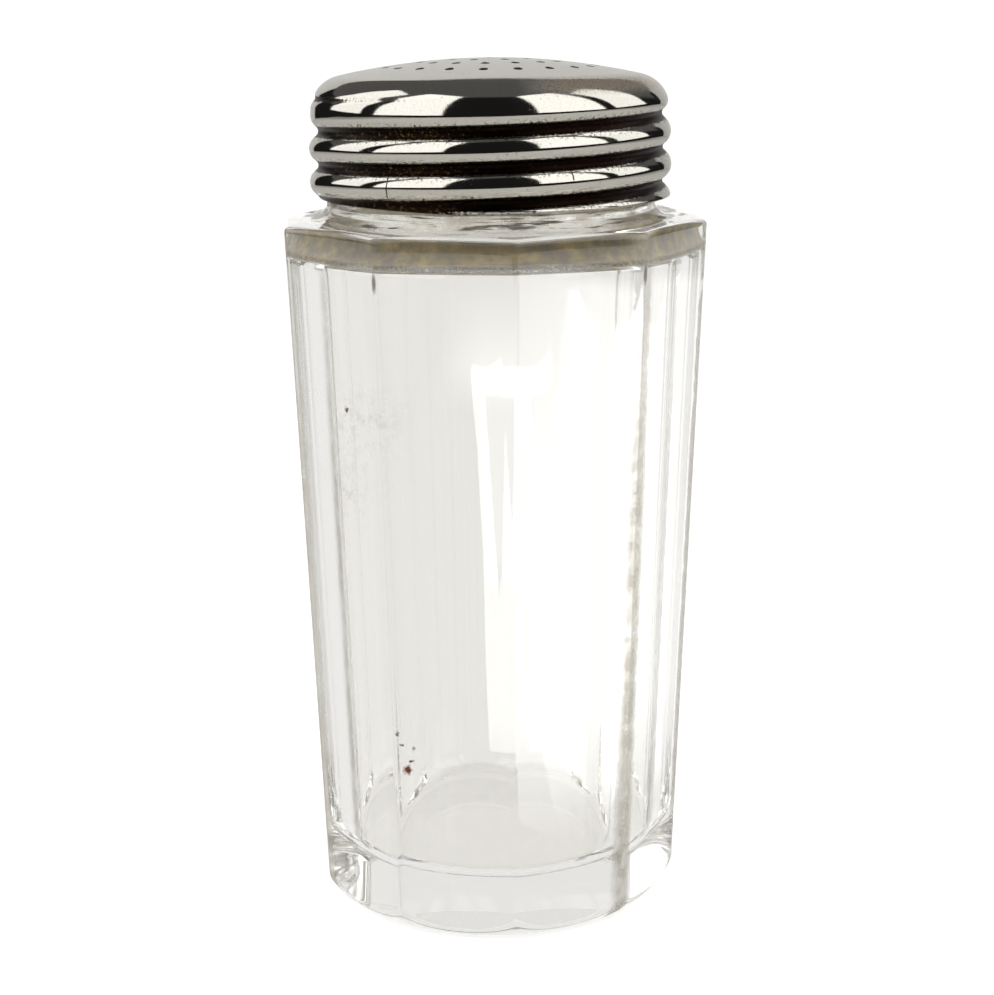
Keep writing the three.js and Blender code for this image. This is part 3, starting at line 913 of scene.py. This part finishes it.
def cutCork():
    # natural cork, cut with a knife: dull, with small cells and dark lenticels
    material, tree = newMaterial("cutCork")
    place = placeInMm(tree)
    cells = addNode(tree, "TexVoronoi", {"Vector": place, "Scale": cork["cellsPerMm"]})
    dark = addNode(tree, "TexNoise", {"Vector": place, **cork["darkGrain"]})
    dark = addNode(tree, "MapRange", dark, *cork["darkRamp"])
    colour = addNode(tree, "Mix", {0: dark, 6: cork["light"], 7: cork["dark"]}, data_type="RGBA", give=2)
    bump = addNode(tree, "Bump", {"Strength": cork["bump"], "Distance": cork["bumpDepth"] * mm, "Height": cells})
    surface = addNode(tree, "BsdfPrincipled", {
        "Base Color": colour, "Roughness": cork["roughness"], "Normal": bump})
    addNode(tree, "OutputMaterial", surface, give=None)
    return material


sealCork = makeCork()
sealCork.data.materials.append(cutCork())
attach(sealCork, "ring")
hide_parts("seal_ring")
print("cork made")


# stage: pale floor, backdrop, soft boxes, in metres where nothing else is said

stage = {
    "paper": "#DFDEDB",
    "floorSize": (3, 1.2),
    "floorY": 0.18,
    "floorSink": 0.02,          # mm
    "backdropSize": (1.8, 0.5),
    "backdropY": 0.75,
    "bounces": 24,              # the thick edges of the glass mirror many times
    "cameraGlow": 0.66,         # only the camera sees it, so that the paper reads white
    "floorMirror": 0.06,
    "floorMirrored": (-1.5, 1.5),
    "backdropMirror": 0.14,
    "backdropMirrored": (-0.38, 0.75),  # what the lid mirrors of the backdrop
    "sharpMirror": 0.8,         # more of it in the glass than in the lid
    "throughGlass": 0.82,       # what lies behind glass has one even level
    "roomFront": 0.012,
    "roomTop": 0.1,
    "roomTopAxis": (0, 0.55, 0.83),
    "roomTopFrom": (0.5, 0.58),
    "roomGlass": 0.55,
    "roomDiffuse": 0.3,
    "boxes": (
        # azimuth from -Y towards +X, distance, lower edge, width, height, watts
        (-58.5, 0.62, 0.15, 0.54, 1.43, 3.6),
        (47.5, 0.62, 0.15, 0.53, 1.43, 3.6),
        (-109.5, 0.62, 0.17, 0.35, 0.95, 1.4),
        (95.5, 0.62, 0.17, 0.35, 0.95, 1.4),
    ),
}
# lit part of the table in front of the jar, which only the glass mirrors, in mm
table = {
    "height": 0.1,
    "glow": 6.0,
    "depth": 2.5,               # up to this many surfaces of glass may lie before its mirror image
    "patch": ((2, -76), (-1, -110), (-5, -170), (-27, -238), (-56, -290), (-62, -306), (-54, -316), (-40, -318),
              (110, -318), (150, -420), (600, -420), (600, 400), (34, 26), (30, -24), (25, -38), (19, -73)),
    "darkNotch": ((11, -289), (14, -265), (21, -239), (25, -215), (29, -194), (31, -174), (33, -162), (35, -151),
                  (36, -138), (43, -150), (52, -160), (61, -168), (77, -184), (91, -204), (110, -226), (129, -250),
                  (145, -273)),
    "softEdge": ((226, -279), (336, -356)),   # its far edge at the right is blurred
    "softEdgeWidth": 80,
    "softEdgeStart": (60, 130),
    "sideDim": (0, -50, 0.18),  # where it grows dim at the right, and how dim
    "fadeAxis": (0.963, -0.27, 0),  # the far part is dark, and so is its mirror image over the shoulder
    "fadeFar": (372, 396),
    "fadeNear": (48, 90),
}
# a soft halo round the far edge of the light, and a fainter one beside it, in mm
halo = {
    "patch": ((-38, -54), (-264, -437), (-230, -490), (120, -490), (250, -400), (250, -357), (25, -36)),
    "depth": 0.5,
    "across": (0.862, -0.507, 0),
    "side": (-4, 9),
    "near": (275, 330),
    "far": (318, 480),
    "glow": 4.5,
    "lowSide": (8, 10),
    "lowStart": (150, 170),
    "lowEnd": (290, 320),
    "lowGlow": 2.5,
}


def paperLook(name, mirrorGlow, mirroredPart):
    # matt paper, with a glow for the camera and for what lies behind glass
    material, tree = newMaterial(name)
    path = addNode(tree, "LightPath", give=None).outputs
    mirrored = addNode(tree, "Math", path["Is Glossy Ray"], mirrorGlow, operation="MULTIPLY")
    sharp = addNode(tree, "Math", path["Is Glossy Ray"], path["Is Singular Ray"], operation="MULTIPLY")
    mirrored = addNode(tree, "Math", sharp, stage["sharpMirror"], mirrored, operation="MULTIPLY_ADD")
    power = addNode(tree, "Math", path["Is Camera Ray"], stage["cameraGlow"], mirrored, operation="MULTIPLY_ADD")
    glow = addNode(tree, "Emission", "#FFFFFF", power)
    lit = addNode(tree, "AddShader", addNode(tree, "BsdfDiffuse", stage["paper"]), glow)
    across = addNode(tree, "SeparateXYZ", addNode(tree, "NewGeometry", give="Position"))
    left = addNode(tree, "Math", across, mirroredPart[0], operation="LESS_THAN")
    right = addNode(tree, "Math", across, mirroredPart[1], operation="GREATER_THAN")
    outside = addNode(tree, "Math", left, right, operation="MAXIMUM")
    outside = addNode(tree, "Math", outside, path["Is Glossy Ray"], operation="MULTIPLY")
    lit = addNode(tree, "MixShader", outside, lit, addNode(tree, "Emission", "#FFFFFF", stage["roomFront"]))
    through = addNode(tree, "Math", path["Transmission Depth"], 0.5, operation="GREATER_THAN")
    lit = addNode(tree, "MixShader", through, lit, addNode(tree, "Emission", "#FFFFFF", stage["throughGlass"]))
    addNode(tree, "OutputMaterial", lit, give=None)
    return material


def mirroredLight(name, findPower, depthLimit):
    # a light that shows only as a sharp mirror image in the first surfaces of the glass
    material, tree = newMaterial(name)
    path = addNode(tree, "LightPath", give=None).outputs
    once = addNode(tree, "Math", path["Glossy Depth"], 1.0, 0.1, operation="COMPARE")
    sharp = addNode(tree, "Math", path["Is Singular Ray"], once, operation="MULTIPLY")
    near = addNode(tree, "Math", path["Transmission Depth"], depthLimit, operation="LESS_THAN")
    seen = addNode(tree, "Math", sharp, near, operation="MULTIPLY")
    place = addNode(tree, "NewGeometry", give="Position")
    place = addNode(tree, "VectorMath", {0: place, "Scale": 1 / mm}, operation="SCALE")
    power = addNode(tree, "Math", findPower(tree, place), seen, operation="MULTIPLY")
    glow = addNode(tree, "Emission", "#FFFFFF", power)
    both = addNode(tree, "AddShader", addNode(tree, "BsdfTransparent"), glow)
    addNode(tree, "OutputMaterial", both, give=None)
    return material


def tablePower(tree, place):
    x, y = addNode(tree, "SeparateXYZ", place, give=None).outputs[:2]
    start, end = (Vector((*point, 0)) for point in table["softEdge"])
    way = (end - start).normalized()
    inward = Vector((-way.y, way.x, 0))
    middle, half = start.dot(inward), table["softEdgeWidth"] / 2
    soft = addNode(tree, "VectorMath", place, inward, operation="DOT_PRODUCT", give="Value")
    soft = addNode(tree, "MapRange", soft, middle - half, middle + half)
    hidden = addNode(tree, "Math", soft, 1.0, operation="SUBTRACT")
    power = addNode(tree, "MapRange", x, *table["softEdgeStart"])
    power = addNode(tree, "Math", power, hidden, 1.0, operation="MULTIPLY_ADD")
    away = addNode(tree, "VectorMath", place, operation="LENGTH", give="Value")
    along = addNode(tree, "VectorMath", place, table["fadeAxis"], operation="DOT_PRODUCT", give="Value")
    for value, limits in ((y, table["sideDim"]), (away, table["fadeNear"]),
                          (along, (*table["fadeFar"], table["glow"], 0.0))):
        power = addNode(tree, "Math", power, addNode(tree, "MapRange", value, *limits), operation="MULTIPLY")
    return power


def haloPower(tree, place):
    across = addNode(tree, "VectorMath", place, halo["across"], operation="DOT_PRODUCT", give="Value")
    away = addNode(tree, "VectorMath", place, operation="LENGTH", give="Value")
    far = addNode(tree, "MapRange", away, *halo["far"], 1.0, 0.0)
    far = addNode(tree, "Math", far, 2.0, operation="POWER")
    low = addNode(tree, "MapRange", away, *halo["lowEnd"], halo["lowGlow"], 0.0)
    for value, limits in ((away, (*halo["near"], 0.0, halo["glow"])), (across, halo["side"])):
        far = addNode(tree, "Math", far, addNode(tree, "MapRange", value, *limits), operation="MULTIPLY")
    for value, limits in ((away, halo["lowStart"]), (across, halo["lowSide"])):
        low = addNode(tree, "Math", low, addNode(tree, "MapRange", value, *limits), operation="MULTIPLY")
    return addNode(tree, "Math", far, low, operation="ADD")


def makePatch(name, look, *outlines):
    # flat shapes on the table, filled together so that an inner one stays open
    bpy.ops.object.select_all(action="DESELECT")
    shapes = []
    for outline in outlines:
        bpy.ops.mesh.primitive_circle_add(vertices=len(outline), fill_type="NOTHING")
        shapes.append(bpy.context.object)
        for vertex, place in zip(shapes[-1].data.vertices, outline):
            vertex.co = Vector((*place, table["height"])) * mm
    for shape in shapes:
        shape.select_set(True)
    patch = bpy.context.view_layer.objects.active = shapes[0]
    bpy.ops.object.join()
    bpy.ops.object.mode_set(mode="EDIT")
    bpy.ops.mesh.select_all(action="SELECT")
    bpy.ops.mesh.fill()
    bpy.ops.object.mode_set(mode="OBJECT")
    patch.name = name
    patch.visible_camera = patch.visible_diffuse = patch.visible_shadow = False
    patch.data.materials.append(look)


def makePaper(name, look, size, middle, upright=False):
    bpy.ops.object.select_all(action="DESELECT")
    bpy.ops.mesh.primitive_plane_add(size=1)
    sheet = bpy.context.object
    sheet.name = name
    bpy.ops.object.mode_set(mode="EDIT")
    if upright:
        bpy.ops.transform.rotate(value=math.radians(90), orient_axis="X", center_override=(0, 0, 0))
    bpy.ops.transform.resize(value=(size[0], 1, size[1]) if upright else (*size, 1))
    bpy.ops.transform.translate(value=middle)
    bpy.ops.object.mode_set(mode="OBJECT")
    sheet.data.materials.append(look)
    return sheet


def makeStage():
    floor = makePaper("paperFloor", paperLook("paleFloorPaper", stage["floorMirror"], stage["floorMirrored"]),
                      stage["floorSize"], (0, stage["floorY"], -stage["floorSink"] * mm))
    look = paperLook("paleBackdropPaper", stage["backdropMirror"], stage["backdropMirrored"])
    backdrop = makePaper("paperBackdrop", look, stage["backdropSize"],
                         (0, stage["backdropY"], stage["backdropSize"][1] / 2), upright=True)
    for index, (azimuth, distance, bottom, width, height, watts) in enumerate(stage["boxes"]):
        turn = math.radians(azimuth)
        away = Vector((math.sin(turn), -math.cos(turn), 0))
        lampData = bpy.data.lights.new(f"softBox{index}", "AREA")
        lampData.shape, lampData.size, lampData.size_y = "RECTANGLE", width, height
        lampData.energy = watts
        lamp = bpy.data.objects.new(f"softBox{index}", lampData)
        bpy.context.scene.collection.objects.link(lamp)
        lamp.location = away * distance + Vector((0, 0, bottom + height / 2))
        lamp.rotation_euler = away.to_track_quat("Z", "Y").to_euler()


def makeWorld():
    # a dark room for mirrors, a brighter one for glass, an even light for matt things, white for the camera
    world = bpy.data.worlds.new("plainRoom")
    bpy.context.scene.world = world
    world.use_nodes = True
    tree = world.node_tree
    tree.nodes.clear()
    path = addNode(tree, "LightPath", give=None).outputs
    direction = addNode(tree, "TexCoord", give="Generated")
    upward = addNode(tree, "VectorMath", direction, stage["roomTopAxis"], operation="DOT_PRODUCT", give="Value")
    level = addNode(tree, "MapRange", upward, *stage["roomTopFrom"], stage["roomFront"], stage["roomTop"])
    through = addNode(tree, "Math", path["Transmission Depth"], 0.5, operation="GREATER_THAN")
    for share, other in ((through, stage["roomGlass"]), (path["Is Diffuse Ray"], stage["roomDiffuse"]),
                         (path["Is Camera Ray"], 1.0)):
        level = addNode(tree, "Mix", {0: share, 2: level, 3: other}, data_type="FLOAT")
    addNode(tree, "OutputWorld", addNode(tree, "Background", "#FFFFFF", level), give=None)


makeStage()
makePatch("mirroredTable", mirroredLight("litTable", tablePower, table["depth"]),
          table["patch"], table["darkNotch"])
makePatch("mirroredHalo", mirroredLight("litHalo", haloPower, halo["depth"]), halo["patch"])
makeWorld()
scene = bpy.context.scene
scene.view_settings.view_transform = "Standard"
scene.cycles.max_bounces = scene.cycles.transmission_bounces = scene.cycles.glossy_bounces = stage["bounces"]
print("stage set")
